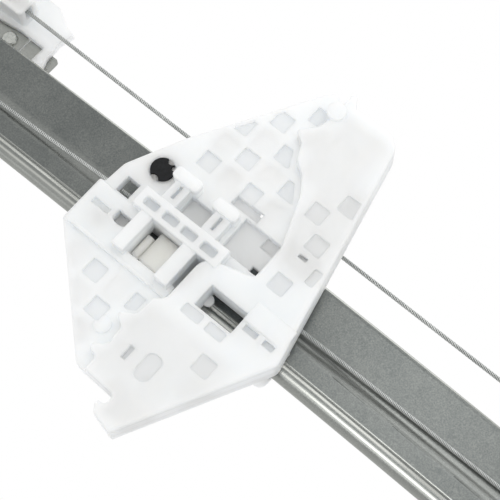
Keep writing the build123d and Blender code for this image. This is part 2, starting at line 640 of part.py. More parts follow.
def make_carrier_plate():
    """The whole moulding: webs, raised face, ladder, chambers and openings."""
    outline = rounded_outline(CARRIER_OUTLINE)
    plateau = outline & rounded_outline(PLATEAU_EDGE)
    body = carrier_blank(outline, plateau)
    body = core_web(body, outline)
    body = core_raised_face(body, plateau)
    body = cut_openings(body)
    body = make_ladder(body)
    body = make_chambers(body)
    for arc in SHOE_ARCS:
        body -= place_on_mid(arc, rod(SHOE_PEG_X, 0, PEG_RADIUS + FIT_GAP, 0, SHOE_PEG_TOP + 0.3))
    return place(mid_plane, body)


# ---------------------------------------------------------------- pieces on the carrier
SHOE_ARCS = (41.5, -27.5)   # the two guide shoes, along the rail from its middle
SHOE_LENGTH = 13.0
SHOE_CORNER = 3.2
CLAW_WIDTH = 2.6            # shoe wall inside the bead's free edge
LIP_REACH = 5.2             # shoe lip behind the bead
PEG_RADIUS = 2.4
SHOE_PEG_X = -15.2
SHOE_PEG_TOP = 11.0
SHOE_SIDE_X = -22.6
SHOE_FRONT = 6.9
SHOE_BACK = -2.8
INSERT = (-16.9, -5.45, 13.15, 26.15)
INSERT_BACK = 4.55
INSERT_TOP = 9.6
INSERT_ROLL = 1.55          # radius of the roll along the insert's upper edge


def place_on_mid(arc, shape):
    """A shape drawn on the rail face at some arc, in the mid rail's coordinates."""
    return mid_plane.location.inverse() * (on_rail(arc).location * shape)


def make_shoe(arc, up):
    """C-shaped guide shoe that grips the rail's rolled bead."""
    gap = SLIDE_GAP
    bead_x = -half_width - gap
    claw = (BEAD_LIP_X + SHEET / 2 + gap, BEAD_LIP_X + SHEET / 2 + gap + CLAW_WIDTH)
    lip_x = bead_x + LIP_REACH
    half = SHOE_LENGTH / 2
    section = [
        (SHOE_SIDE_X, SHOE_BACK), (lip_x, SHOE_BACK), (lip_x, -gap), (bead_x, -gap),
        (bead_x, BEAD_HEIGHT + gap), (claw[0], BEAD_HEIGHT + gap), (claw[0], STEP_RISE + gap),
        (claw[1], STEP_RISE + gap), (claw[1], SHOE_FRONT), (SHOE_SIDE_X, SHOE_FRONT),
    ]
    face = make_face(Polyline(section, close=True))
    shoe = extrude(Plane.XZ * face, half, both=True)
    corners = shoe.edges().filter_by(Axis.Z).sort_by(Axis.X)[:2].sort_by(Axis.Y)
    shoe = fillet(corners[-1] if up > 0 else corners[0], SHOE_CORNER)
    shoe += rod(SHOE_PEG_X, 0, PEG_RADIUS, SHOE_FRONT, SHOE_PEG_TOP)
    return place(on_rail(arc), shoe)


def make_insert():
    """Slide block let into the pocket between the legs, over the bead."""
    x0, x1, y0, y1 = INSERT
    roll = INSERT_ROLL
    roll_end = x1 - 3.2
    block = box(x0, x1, y0, y1 - 2 * roll - 0.3, INSERT_BACK, INSERT_TOP)
    block += box(x0 + 1, roll_end - 0.8, y0, y1 - roll, INSERT_BACK, INSERT_TOP - roll)
    barrel = Rot(0, 90, 0) * Cylinder(roll, roll_end - x0)
    block += Pos((x0 + roll_end) / 2, y1 - roll, INSERT_TOP - roll + 0.6) * barrel
    return place(mid_plane, block)


def make_bumper():
    """Rubber button with three notches, pulled into its hole from behind."""
    top = CARRIER_WEB + BUMPER_RISE
    button = rod(0, 0, BUMPER_RADIUS - FIT_GAP, CARRIER_BACK - BUMPER_RISE, top)
    button = fillet(button.edges().sort_by(Axis.Z)[-1], 0.8)
    button += rod(0, 0, BUMPER_RADIUS + 1.0, CARRIER_BACK - BUMPER_RISE, CARRIER_BACK - FIT_GAP)
    for i in range(3):
        notch = rod(BUMPER_RADIUS, 0, BUMPER_NOTCH, CARRIER_BACK - BUMPER_RISE - 1, top + 1)
        button -= Rot(0, 0, 120 * i) * notch
    return place(mid_plane, Pos(*BUMPER_CENTRE) * button)


def make_nipple(lower):
    """Zinc end of the rope, cast on."""
    y0 = NIPPLE_ENDS[0] if lower else NIPPLE_ENDS[1] - NIPPLE_LENGTH
    barrel = Rot(90, 0, 0) * Cylinder(NIPPLE_RADIUS, NIPPLE_LENGTH)
    barrel = chamfer(barrel.edges(), 0.3)
    centre = (chamber_x, y0 + NIPPLE_LENGTH / 2, CHAMBER_ROPE_HEIGHT)
    return place(mid_plane, Pos(*centre) * barrel)


def make_spring(lower):
    """Compression spring between a rope end and its chamber wall."""
    gap = FIT_GAP + SPRING_WIRE
    low = CHAMBERS[0][0] + gap if lower else NIPPLE_ENDS[1] + gap
    high = NIPPLE_ENDS[0] - gap if lower else CHAMBERS[1][1] - gap
    coil = Helix(pitch=(high - low) / SPRING_TURNS, height=high - low, radius=SPRING_RADIUS)
    wire = Plane(origin=coil @ 0, z_dir=coil % 0) * RegularPolygon(SPRING_WIRE, 6)
    spring = sweep(wire, path=coil, is_frenet=True)
    spring = Pos(chamber_x, low, CHAMBER_ROPE_HEIGHT) * (Rot(-90, 0, 0) * spring)
    return place(mid_plane, spring)


def bend_radii(points):
    """As large an arc at each corner as its two runs leave room for."""
    radii = []
    for before, corner, after in zip(points, points[1:], points[2:]):
        shorter = min((corner - before).length, (after - corner).length)
        turn = (corner - before).get_angle(after - corner)
        radii.append(0.45 * shorter / tan(radians(turn / 2)))
    return radii


def inner_run(lower):
    """Rope from a pulley to the carrier, lying just over the rail's bowed face."""
    sign = -1 if lower else 1
    plane, _, inset = pulley_frame(sign)
    rope_x = rope_lower_x if lower else rope_upper_x
    tangent = to_world(plane, rope_x, inset - sign * ROPE_JOINT, groove_height)
    nipple = NIPPLE_ENDS[0] - RUNNING_GAP if lower else NIPPLE_ENDS[1] + RUNNING_GAP
    mouth = CHAMBER_BLOCK[2] - 1 if lower else CHAMBER_BLOCK[3] + 1
    rest = [mouth + sign * 55, mouth + sign * 125]
    points = [Vector(chamber_x, mid_plane.origin.Y - CHAMBER_ROPE_HEIGHT, nipple),
              Vector(chamber_x, mid_plane.origin.Y - CHAMBER_ROPE_HEIGHT, mouth)]
    for z in rest:
        point = to_world(on_rail(RAIL_RADIUS * asin(z / RAIL_RADIUS)), 0, 0, ROPE_REST_HEIGHT)
        points.append(Vector(rope_x_at(point.Z), point.Y, point.Z))
    points.append(tangent)
    return tube(points, bend_radii(points))


# ---------------------------------------------------------------- drum and housing
JOURNAL_RADIUS = 9.0
JOURNAL_LENGTH = 6.5
DRUM_RIM = 3.5              # drum's rim, inside the rope's pitch circle
DRUM_HUB_WALL = 1.5
DRUM_WEB_DEPTH = 3.5        # how far the drum is dished from behind
CUP_WALL = 2.5
CUP_FACE = 1.6              # front wall of the housing
RIB_HEIGHT = 0.6
COVER_THICKNESS = 2.0
POST_RADIUS = 5.5
SLEEVE_RADIUS = 3.8
POST_TOP = -3.0


def make_drum():
    """Rope drum: grooved rim, dished web, journal bore and splined drive bore."""
    floor = DRUM_PITCH_RADIUS - rope_radius - RUNNING_GAP
    land = DRUM_PITCH_RADIUS + 0.3
    wall = GROOVE_PITCH / 2 - 0.08
    rim = [(drum_flange_radius, drum_front), (drum_flange_radius, drum_front - DRUM_FLANGE)]
    for i in range(DRUM_GROOVES):
        d = FIRST_GROOVE - i * GROOVE_PITCH
        rim += [(land, d + wall), (floor, d + wall - 0.1), (floor, d - wall + 0.1), (land, d - wall)]
    rim += [(drum_flange_radius, drum_back + DRUM_FLANGE), (drum_flange_radius, drum_back)]
    web_back = drum_back + DRUM_WEB_DEPTH
    rim_inner = DRUM_PITCH_RADIUS - DRUM_RIM
    hub = JOURNAL_RADIUS + DRUM_HUB_WALL
    inner = [(rim_inner, drum_back), (rim_inner, web_back), (hub, web_back), (hub, drum_back),
             (SPLINE_RADIUS, drum_back), (SPLINE_RADIUS, drum_front - JOURNAL_LENGTH),
             (JOURNAL_RADIUS + RUNNING_GAP, drum_front - JOURNAL_LENGTH),
             (JOURNAL_RADIUS + RUNNING_GAP, drum_front)]
    face = make_face(Polyline(rim + inner, close=True))
    drum = revolve(Plane.XZ * face, Axis.Z)
    for i in range(SPLINE_KEYS):
        key = box(SPLINE_RADIUS - 1, SPLINE_RADIUS + 1.1, -0.5, 0.5, drum_back - 1,
                  drum_front - JOURNAL_LENGTH - 0.8)
        drum -= Rot(0, 0, i * 360 / SPLINE_KEYS) * key
    return place(drum_plane, Pos(drum_x, 0) * drum)


def make_winding():
    """Spare turns of rope in the drum's middle grooves, drawn with eight flats."""
    turns = []
    for i in range(1, DRUM_GROOVES - 1):
        d = FIRST_GROOVE - i * GROOVE_PITCH
        section = Plane.XZ * (Pos(DRUM_PITCH_RADIUS, d) * RegularPolygon(rope_radius, 8))
        turns.append(place(drum_plane, Pos(drum_x, 0) * revolve(section, Axis.Z)))
    return turns


def motor_post_places():
    return [(drum_x + MOTOR_PCD / 2 * cos(radians(a)), MOTOR_PCD / 2 * sin(radians(a)))
            for a in MOTOR_POST_ANGLES]


FOOT_OUTLINE = (
    # across, and up from the drum axis: foot that sits on the rail's lug
    (18.4, -50.9, 0.5), (23.6, -48.6, 0.8), (31.6, -48.0, 1.5), (37.8, -49.6, 0.8),
    (38.8, -45.0, 2.0), (42.8, -38.0, 3.0), (44.0, -16.0, 0), (30.0, -12.0, 2.0),
    (25.6, -14.0, 2.0), (25.8, -22.7, 6.0), (27.0, -32.0, 4.0), (26.8, -44.7, 0.8), (18.4, -44.4, 0.5),
)
FOOT_LEVELS = (-FLANGE_DEPTH + 0.1, -7.3)
HEEL = (19.4, -36.0, -15.5)                 # pad behind the lug: inner edge, and its height
HEEL_WALL = 3.6             # wall that joins pad and foot outside the lug
HEEL_BACK = -13.8
HOOD = (28.6, 37.4, -33.0, -16.0)           # cover over the rope, on the foot
HOOD_FACE = 1.2
HOOD_ROUND = 1.0
ROPE_DIP = 2.2              # how far the rope sinks below its groove along the foot
RIBS = 6                    # on the housing's front wall
RIB_WIDTH = 1.6


def make_heel():
    """Part of the housing's foot that reaches round the lug's edge and behind it."""
    x0, y0, y1 = HEEL
    wall = half_width + LUG_REACH + SLIDE_GAP
    pad = box(x0, wall, y0, y1, HEEL_BACK, -FLANGE_DEPTH - SHEET - FIT_GAP)
    return pad + box(wall, wall + HEEL_WALL, y0, y1, HEEL_BACK, FOOT_LEVELS[1])


def make_housing():
    """Moulded cup over the drum with a foot that is hooked and riveted to the rail."""
    outer = cup_inner + CUP_WALL
    face = cup_front + CUP_FACE
    cup = rod(drum_x, 0, outer, cup_back, face)
    cup = fillet(cup.edges().sort_by(Axis.Z)[-1], 1.2)
    foot = slab(rounded_outline(FOOT_OUTLINE), *FOOT_LEVELS)
    # hood over the rope, from the foot's middle up into the cup
    x0, x1, y0, _ = HOOD
    slot_top = groove_down + rope_radius + END_PLAY
    hood = slab(pane(*HOOD, 2.0), FOOT_LEVELS[0], slot_top + HOOD_FACE)
    hood = fillet(hood.faces().sort_by(Axis.Z)[-1].edges(), HOOD_ROUND)
    body = cup + foot + hood + make_heel()
    for x, y in motor_post_places():
        body += rod(x, y, POST_RADIUS, cup_back, POST_TOP)
        body -= rod(x, y, SLEEVE_RADIUS + RUNNING_GAP, cup_back - 1, POST_TOP + 1)
    body -= rod(drum_x, 0, cup_inner, cup_back - 1, cup_front)
    body += ring(drum_x, 0, JOURNAL_RADIUS, JOURNAL_RADIUS - 2.2,
                 cup_front - JOURNAL_LENGTH, cup_front + 0.1)
    for i in range(RIBS):
        rib = box(JOURNAL_RADIUS + 2, outer - 1.5, -RIB_WIDTH / 2, RIB_WIDTH / 2,
                  cup_front + 1, face + RIB_HEIGHT)
        body += Pos(drum_x, 0) * Rot(0, 0, i * 360 / RIBS) * rib
    body += ring(drum_x, 0, JOURNAL_RADIUS + 3, JOURNAL_RADIUS + 1, cup_front + 1, face + RIB_HEIGHT)
    # slots where the rope leaves the cup
    gap = rope_radius + 0.9
    body -= box(rope_side_x - gap, rope_side_x + gap, y0 - 1, -4,
                groove_down - gap - ROPE_DIP, slot_top)
    nx, ny = drum_to_pulley_line()
    slot = box(-gap, gap, 4, outer, groove_up - gap, groove_up + gap + 1)
    slot = Rot(0, 0, degrees(atan2(ny, nx)) - 180) * slot
    body -= Pos(drum_x + DRUM_PITCH_RADIUS * nx, DRUM_PITCH_RADIUS * ny) * slot
    for x, y in HOUSING_RIVETS:
        body -= rod(x, y, HOUSING_RIVET_RADIUS, HEEL_BACK - 1, 0)
    return place(drum_plane, body)


def make_cover():
    """Rear plate of the drum housing, open in the middle for the motor's shaft."""
    outer = cup_inner + CUP_WALL
    plate = Pos(drum_x, 0) * Circle(outer)
    for x, y in motor_post_places():
        plate += Pos(x, y) * Circle(POST_RADIUS)
    cover = slab(plate, cup_back - COVER_THICKNESS, cup_back)
    cover -= rod(drum_x, 0, 13.0, cup_back - 5, cup_back + 1)
    for x, y in motor_post_places():
        cover -= rod(x, y, SLEEVE_RADIUS + RUNNING_GAP, cup_back - 5, cup_back + 1)
    cover += ring(drum_x, 0, cup_inner - FIT_GAP, cup_inner - 1.6, cup_back - 0.5, cup_back + 0.8)
    return place(drum_plane, cover)


def make_sleeves():
    """Steel sleeves that take the motor screws through housing and cover."""
    return [place(drum_plane, ring(x, y, SLEEVE_RADIUS, MOTOR_SCREW_RADIUS,
                                   cup_back - COVER_THICKNESS, POST_TOP))
            for x, y in motor_post_places()]


def make_housing_rivets():
    """Two rivets through the rail's lug and the housing's heel behind it."""
    rivets = []
    front = -FLANGE_DEPTH
    for x, y in HOUSING_RIVETS:
        rivet = rod(x, y, HOUSING_RIVET_RADIUS, HEEL_BACK, front)
        head = rod(x, y, HOUSING_RIVET_RADIUS * 1.6, front, front + 1.2)
        rivet += chamfer(head.edges().sort_by(Axis.Z)[-1], 0.5)
        rivet += rod(x, y, HOUSING_RIVET_RADIUS * 1.5, HEEL_BACK - 1.0, HEEL_BACK)
        rivets.append(place(drum_plane, rivet))
    return rivets


# ---------------------------------------------------------------- all the pieces
pieces = {
    "rail": make_rail(),
    "upper_bracket": make_bracket(1),
    "lower_bracket": make_bracket(-1),
    "bracket_rivets": make_bracket_rivets(),
    "upper_pulley": make_pulley(1),
    "lower_pulley": make_pulley(-1),
    "upper_pulley_pin": make_pulley_pin(1),
    "lower_pulley_pin": make_pulley_pin(-1),
    "upper_rope_keeper": make_keeper(1),
    "lower_rope_keeper": make_keeper(-1),
    "down_rope": make_down_rope(),
    "up_rope": make_up_rope(),
    "lower_inner_rope": inner_run(True),
    "upper_inner_rope": inner_run(False),
    "carrier_plate": make_carrier_plate(),
    "upper_guide_shoe": make_shoe(SHOE_ARCS[0], 1),
    "lower_guide_shoe": make_shoe(SHOE_ARCS[1], -1),
    "slide_insert": make_insert(),
    "bumper": make_bumper(),
    "lower_nipple": make_nipple(True),
    "upper_nipple": make_nipple(False),
    "lower_tension_spring": make_spring(True),
    "upper_tension_spring": make_spring(False),
    "rope_drum": make_drum(),
    "drum_winding": make_winding(),
    "drum_housing": make_housing(),
    "drum_cover": make_cover(),
    "motor_sleeves": make_sleeves(),
    "housing_rivets": make_housing_rivets(),
}

os.makedirs("parts", exist_ok=True)
for name, shape in pieces.items():
    if isinstance(shape, list):
        shape = Compound(children=[Part() + piece for piece in shape])
    export_step(shape, f"parts/{name}.step")
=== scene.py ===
"""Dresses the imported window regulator: camera, materials, stranded ropes and light."""
import math

import bmesh
import bpy
from mathutils import Matrix, Vector


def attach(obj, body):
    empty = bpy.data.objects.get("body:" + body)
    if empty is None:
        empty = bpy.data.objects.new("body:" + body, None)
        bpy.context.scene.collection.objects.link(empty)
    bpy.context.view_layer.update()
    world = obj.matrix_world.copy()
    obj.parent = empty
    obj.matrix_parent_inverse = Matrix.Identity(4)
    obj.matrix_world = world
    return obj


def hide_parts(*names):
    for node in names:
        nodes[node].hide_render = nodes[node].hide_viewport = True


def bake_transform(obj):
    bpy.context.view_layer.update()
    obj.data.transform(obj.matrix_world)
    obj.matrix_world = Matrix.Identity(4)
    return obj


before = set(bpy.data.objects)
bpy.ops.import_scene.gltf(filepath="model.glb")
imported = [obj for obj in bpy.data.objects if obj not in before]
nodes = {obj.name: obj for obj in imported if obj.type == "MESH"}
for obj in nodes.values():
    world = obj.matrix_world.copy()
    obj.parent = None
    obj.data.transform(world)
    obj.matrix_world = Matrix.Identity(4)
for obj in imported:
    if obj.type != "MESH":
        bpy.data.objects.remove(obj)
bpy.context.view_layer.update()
for obj in bpy.context.selected_objects:
    obj.select_set(False)

# Camera: close and slightly below the middle of the rail, looking up and inboard, and
# rolled so that the rail runs corner to corner.  A long lens keeps its edges parallel.
eye = Vector((-0.1055, -0.4576, -0.1145))
across = Vector((0.6504, 0.0256, -0.7591))
upwards = Vector((0.7135, -0.3633, 0.5991))
away = -across.cross(upwards)
lens = bpy.data.cameras.new("studio_camera")
lens.sensor_width = 36.0
lens.lens = 97.27
lens.clip_start = 0.01
camera = bpy.data.objects.new("studio_camera", lens)
view_axes = Matrix((across, upwards, -away)).transposed()
camera.matrix_world = Matrix.Translation(eye) @ view_axes.to_4x4()
bpy.context.scene.collection.objects.link(camera)
bpy.context.scene.camera = camera

# ---------------------------------------------------------------- rail and feet
# The rail and both feet are hot-dip galvanised steel sheet, roll formed and pressed.
# Zinc freezes in grey spangle a few millimetres across, dulled to a satin by skin
# passing, with fine lines left along the rail by the forming rolls.


def linear(hex_colour):
    """An sRGB colour such as #8A8F8C as linear light."""
    channels = [int(hex_colour[i:i + 2], 16) / 255 for i in (1, 3, 5)]
    return [c / 12.92 if c <= 0.04045 else ((c + 0.055) / 1.055) ** 2.4 for c in channels] + [1]


def start_material(name):
    """An empty node material, its node tree and its surface shader."""
    material = bpy.data.materials.new(name)
    material.use_nodes = True
    return material, material.node_tree, material.node_tree.nodes["Principled BSDF"]


def add(tree, kind, settings=None, **links):
    """A node with its settings; each link feeds the input whose name is given."""
    node = tree.nodes.new(kind)
    for key, value in (settings or {}).items():
        if isinstance(key, str) and hasattr(node, key):
            setattr(node, key, value)
        else:
            node.inputs[key].default_value = value
    for key, source in links.items():
        tree.links.new(source, node.inputs[key.replace("_", " ")])
    return node


def ramp(tree, source, stops):
    """A colour ramp whose stops are (position, hex colour or grey level)."""
    node = add(tree, "ShaderNodeValToRGB", Fac=source)
    band = node.color_ramp
    while len(band.elements) < len(stops):
        band.elements.new(0.5)
    for element, (position, colour) in zip(band.elements, stops):
        element.position = position
        element.color = linear(colour) if isinstance(colour, str) else (colour,) * 3 + (1,)
    return node.outputs["Color"]


def finish_node(name, material):
    """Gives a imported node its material."""
    nodes[name].data.materials.clear()
    nodes[name].data.materials.append(material)


# Frosted grain of half a millimetre, faint spangle of 2 mm and cloudy patches of 15 mm.
# Roll lines are finer than they are drawn here, 0.7 mm apart and some 30 mm long.
FROST = {"Scale": 1900.0, "Detail": 4.0, "Roughness": 0.7}
SPANGLE = {"Scale": 500.0}
CLOUD = {"Scale": 65.0, "Detail": 6.0, "Roughness": 0.62}
ROLL_LINES = {"Scale": 1500.0, "Detail": 2.0}
ROLL_STRETCH = (1.0, 1.0, 0.02)
SPANGLE_SHARE, FROST_SHARE = 0.14, 0.7
FROSTED_ROUGHNESS, BURNISHED_ROUGHNESS = ((0.3, 0.34), (0.7, 0.38)), 0.17
FROSTED_RELIEF, BURNISHED_RELIEF = 0.12, 0.02
MOSTLY_ZINC = 0.92
GRAIN_DEPTH = 0.0001

# The bead is painted bright in narrow tracks where its highlight lines fall, with the plain
# darker sheet between them; the step is painted a little lighter against its shade, and the
# flange's bend and lug are painted bright: painted highlights.  The forming rolls and the
# shoes also burnish these tracks smoother and flatter.
HALF_RAIL = 0.018
BURNISHED_PAINTED_HIGHLIGHT = "#CFD0CA"
STREAKS = {"From Min": 0.3, "From Max": 0.7, "To Min": 0.82, "To Max": 1.0}
BEAD_HIGHLIGHT_TRACKS = ((-0.0180, 0.40), (-0.0164, 0.22), (-0.0155, 0.30), (-0.0152, 0.75), (-0.0148, 0.70),
               (-0.0145, 0.25), (-0.0141, 0.10), (-0.0136, 0.15), (-0.0132, 0.90), (-0.0126, 0.95),
               (-0.0122, 0.10), (-0.0118, 0.10), (-0.0115, 0.85), (-0.0111, 0.70), (-0.0107, 0.00))
STEP_PAINTED_LIGHT_TRACKS = ((-0.0056, 0.00), (-0.0046, 0.10), (-0.0036, 0.15), (-0.0010, 0.17), (0.0008, 0.10),
               (0.0018, 0.00))
FLANGE_HIGHLIGHT_TRACKS = ((0.0169, 0.00), (0.0174, 0.85), (0.0180, 0.42))


def sheet_steel(name, highlight_tracks):
    """Frosted zinc on sheet steel; tracks are (place across, how far it is burnished and painted
    bright as highlight).
    """
    material, tree, shader = start_material(name)
    place = add(tree, "ShaderNodeTexCoord").outputs["Object"]
    frost = add(tree, "ShaderNodeTexNoise", FROST, Vector=place)
    spangle = add(tree, "ShaderNodeTexVoronoi", SPANGLE, Vector=place)
    cloud = add(tree, "ShaderNodeTexNoise", CLOUD, Vector=place)
    patches = add(tree, "ShaderNodeMix", {"data_type": "FLOAT", "Factor": SPANGLE_SHARE})
    tree.links.new(cloud.outputs["Fac"], patches.inputs[2])
    tree.links.new(spangle.outputs["Color"], patches.inputs[3])
    tone = add(tree, "ShaderNodeMix", {"data_type": "FLOAT", "Factor": FROST_SHARE})
    tree.links.new(patches.outputs[0], tone.inputs[2])
    tree.links.new(frost.outputs["Fac"], tone.inputs[3])
    colour = ramp(tree, tone.outputs[0], [(0.36, "#5E6261"), (0.5, "#6D706E"), (0.64, "#7D807D")])
    sheen = ramp(tree, cloud.outputs["Fac"], FROSTED_ROUGHNESS)
    stretched = add(tree, "ShaderNodeMapping", {"Scale": ROLL_STRETCH}, Vector=place)
    roll_lines = add(tree, "ShaderNodeTexNoise", ROLL_LINES, Vector=stretched.outputs[0])
    relief = add(tree, "ShaderNodeMath", {"operation": "ADD"})
    tree.links.new(frost.outputs["Fac"], relief.inputs[0])
    tree.links.new(roll_lines.outputs["Fac"], relief.inputs[1])
    bump = add(tree, "ShaderNodeBump", {"Strength": FROSTED_RELIEF, "Distance": GRAIN_DEPTH},
               Height=relief.outputs[0])
    # Painted highlights: the tracks mix a bright colour into the sheet across the rail, and also
    # lower its roughness and relief.
    if highlight_tracks:
        sides = add(tree, "ShaderNodeSeparateXYZ", Vector=place)
        across = add(tree, "ShaderNodeMapRange", {"From Min": -HALF_RAIL, "From Max": HALF_RAIL},
                     Value=sides.outputs["X"])
        highlight_and_burnish_tracks = ramp(tree, across.outputs[0],
                      [((x + HALF_RAIL) / (2 * HALF_RAIL), k) for x, k in highlight_tracks])
        highlight_and_burnish = add(tree, "ShaderNodeMath", {"operation": "MULTIPLY"})
        streak = add(tree, "ShaderNodeMapRange", STREAKS, Value=roll_lines.outputs["Fac"])
        tree.links.new(highlight_and_burnish_tracks, highlight_and_burnish.inputs[0])
        tree.links.new(streak.outputs[0], highlight_and_burnish.inputs[1])
        # The painted highlight colour, mixed in where the tracks lie.
        painted_highlight_colour = add(tree, "ShaderNodeMix", {"data_type": "RGBA", 7: linear(BURNISHED_PAINTED_HIGHLIGHT)},
                       Factor=highlight_and_burnish.outputs[0])
        tree.links.new(colour, painted_highlight_colour.inputs[6])
        smoother = add(tree, "ShaderNodeMix", {"data_type": "FLOAT", 3: BURNISHED_ROUGHNESS},
                       Factor=highlight_and_burnish.outputs[0])
        tree.links.new(sheen, smoother.inputs[2])
        flatter = add(tree, "ShaderNodeMapRange",
                      {"To Min": FROSTED_RELIEF, "To Max": BURNISHED_RELIEF},
                      Value=highlight_and_burnish.outputs[0])
        tree.links.new(flatter.outputs[0], bump.inputs["Strength"])
        colour, sheen = painted_highlight_colour.outputs[2], smoother.outputs[0]
    tree.links.new(colour, shader.inputs["Base Color"])
    tree.links.new(sheen, shader.inputs["Roughness"])
    tree.links.new(bump.outputs["Normal"], shader.inputs["Normal"])
    shader.inputs["Metallic"].default_value = MOSTLY_ZINC
    return material


# Only the rail is painted with highlight tracks; the pressed feet are plain frosted zinc.
finish_node("rail", sheet_steel("roll_formed_galvanised_steel_painted_highlights",
                                BEAD_HIGHLIGHT_TRACKS + STEP_PAINTED_LIGHT_TRACKS + FLANGE_HIGHLIGHT_TRACKS))
pressed = sheet_steel("pressed_galvanised_steel", ())
for name in ("upper_bracket", "lower_bracket"):
    finish_node(name, pressed)

# ---------------------------------------------------------------- rivets, pins and sleeves
# Rivets, pulley pins and screw sleeves are turned or cold-headed steel with bright zinc
# plating: smoother and a touch lighter than the sheet, faintly mottled by handling in
# patches of about 1.5 mm.
plated, tree, shader = start_material("bright_zinc_plated_steel")
place = add(tree, "ShaderNodeTexCoord").outputs["Object"]
mottle = add(tree, "ShaderNodeTexNoise", {"Scale": 700.0, "Detail": 4.0}, Vector=place)
tree.links.new(ramp(tree, mottle.outputs["Fac"], [(0.3, "#A9ACA8"), (0.7, "#C6C7C2")]),
               shader.inputs["Base Color"])
tree.links.new(ramp(tree, mottle.outputs["Fac"], [(0.3, 0.22), (0.7, 0.34)]),
               shader.inputs["Roughness"])
shader.inputs["Metallic"].default_value = 1.0
for name in ("bracket_rivets", "housing_rivets", "upper_pulley_pin", "lower_pulley_pin",
             "motor_sleeves"):
    finish_node(name, plated)

# ---------------------------------------------------------------- shoes, pulleys and drum
# Shoes, pulleys, keepers, the drum and its housing are natural acetal, injection moulded.
# It is milky white and lets light some millimetres in, so thin walls glow and deep
# pockets turn faintly blue; the mould leaves a satin grain and slightly round edges.

# Light goes about 6 mm into the moulding, a little further in the blue.  The melt set in
# clouds of some 20 mm; the mould's grain is finer than the 0.3 mm it is drawn at.
ACETAL_IOR = 1.48
GLOW = (0.0060, 0.0062, 0.0066)
MELT = {"Scale": 45.0, "Detail": 4.0, "Distortion": 0.8}
SATIN = {"Scale": 3000.0, "Detail": 2.0}
SATIN_DEPTH = 0.00005
SOFT_EDGE = 0.0006
# Painted shade: the tone given to the carrier's pocket floors and lower levels by their depth.
PAINTED_FLOOR_SHADE = "#E7E9EA"


def acetal(name, light, dark, grain, shade_by_depth=()):
    """Milky moulded acetal between two near colours; floors are (depth, how much painted shade the
    moulding gets at that depth).
    """
    material, tree, shader = start_material(name)
    place = add(tree, "ShaderNodeTexCoord").outputs["Object"]
    melt = add(tree, "ShaderNodeTexNoise", MELT, Vector=place)
    colour = ramp(tree, melt.outputs["Fac"], [(0.3, dark), (0.7, light)])
    # Painted shade in the recesses: the colour turns to the floor shade at the listed depths.
    if shade_by_depth:
        sides = add(tree, "ShaderNodeSeparateXYZ", Vector=place)
        front, back = shade_by_depth[0][0], shade_by_depth[-1][0]
        depth = add(tree, "ShaderNodeMapRange", {"From Min": front, "From Max": back},
                    Value=sides.outputs["Y"])
        painted_shade = ramp(tree, depth.outputs[0], [((y - front) / (back - front), k) for y, k in shade_by_depth])
        body = add(tree, "ShaderNodeMix", {"data_type": "RGBA", 7: linear(PAINTED_FLOOR_SHADE)}, Factor=painted_shade)
        tree.links.new(colour, body.inputs[6])
        colour = body.outputs[2]
    tree.links.new(colour, shader.inputs["Base Color"])
    tree.links.new(ramp(tree, melt.outputs["Fac"], [(0.3, 0.34), (0.7, 0.42)]),
                   shader.inputs["Roughness"])
    shader.inputs["IOR"].default_value = ACETAL_IOR
    shader.inputs["Subsurface Weight"].default_value = 1.0
    shader.inputs["Subsurface Radius"].default_value = GLOW
    shader.inputs["Subsurface Scale"].default_value = 1.0
    satin = add(tree, "ShaderNodeTexNoise", SATIN, Vector=place)
    edge = add(tree, "ShaderNodeBevel", {"samples": 6, "Radius": SOFT_EDGE})
    bump = add(tree, "ShaderNodeBump", {"Strength": grain, "Distance": SATIN_DEPTH},
               Height=satin.outputs["Fac"], Normal=edge.outputs["Normal"])
    tree.links.new(bump.outputs["Normal"], shader.inputs["Normal"])
    return material


milky = acetal("natural_acetal_moulding", "#F4F6F7", "#EFF2F3", 0.25)
for name in ("upper_guide_shoe", "lower_guide_shoe", "upper_pulley", "lower_pulley",
             "upper_rope_keeper", "lower_rope_keeper", "rope_drum", "drum_housing", "drum_cover"):
    finish_node(name, milky)

# ---------------------------------------------------------------- carrier
# The carrier is one moulding of the same acetal.  Its cored squares have thin floors.  Its
# pocket floors and lower levels are painted a shade darker by their depth, in bands from the
# ladder's top down to the cored web: painted shade in the recesses.
FLOOR_SHADE_BY_DEPTH = ((-0.0580, 0.0), (-0.0567, 0.0), (-0.0565, 1.0), (-0.0550, 1.0), (-0.0545, 0.0),
          (-0.0518, 0.0), (-0.0514, 1.0), (-0.0480, 1.0))
shaded_carrier_acetal = acetal("natural_acetal_carrier_painted_shade", "#F4F6F7", "#EFF2F3", 0.25, FLOOR_SHADE_BY_DEPTH)
finish_node("carrier_plate", shaded_carrier_acetal)

# The slide block over the bead is a separate cream moulding of lubricated acetal,
# pressed into its pocket between the legs.
cream = acetal("cream_lubricated_acetal", "#FBF9F1", "#F6F3EA", 0.3)
finish_node("slide_insert", cream)

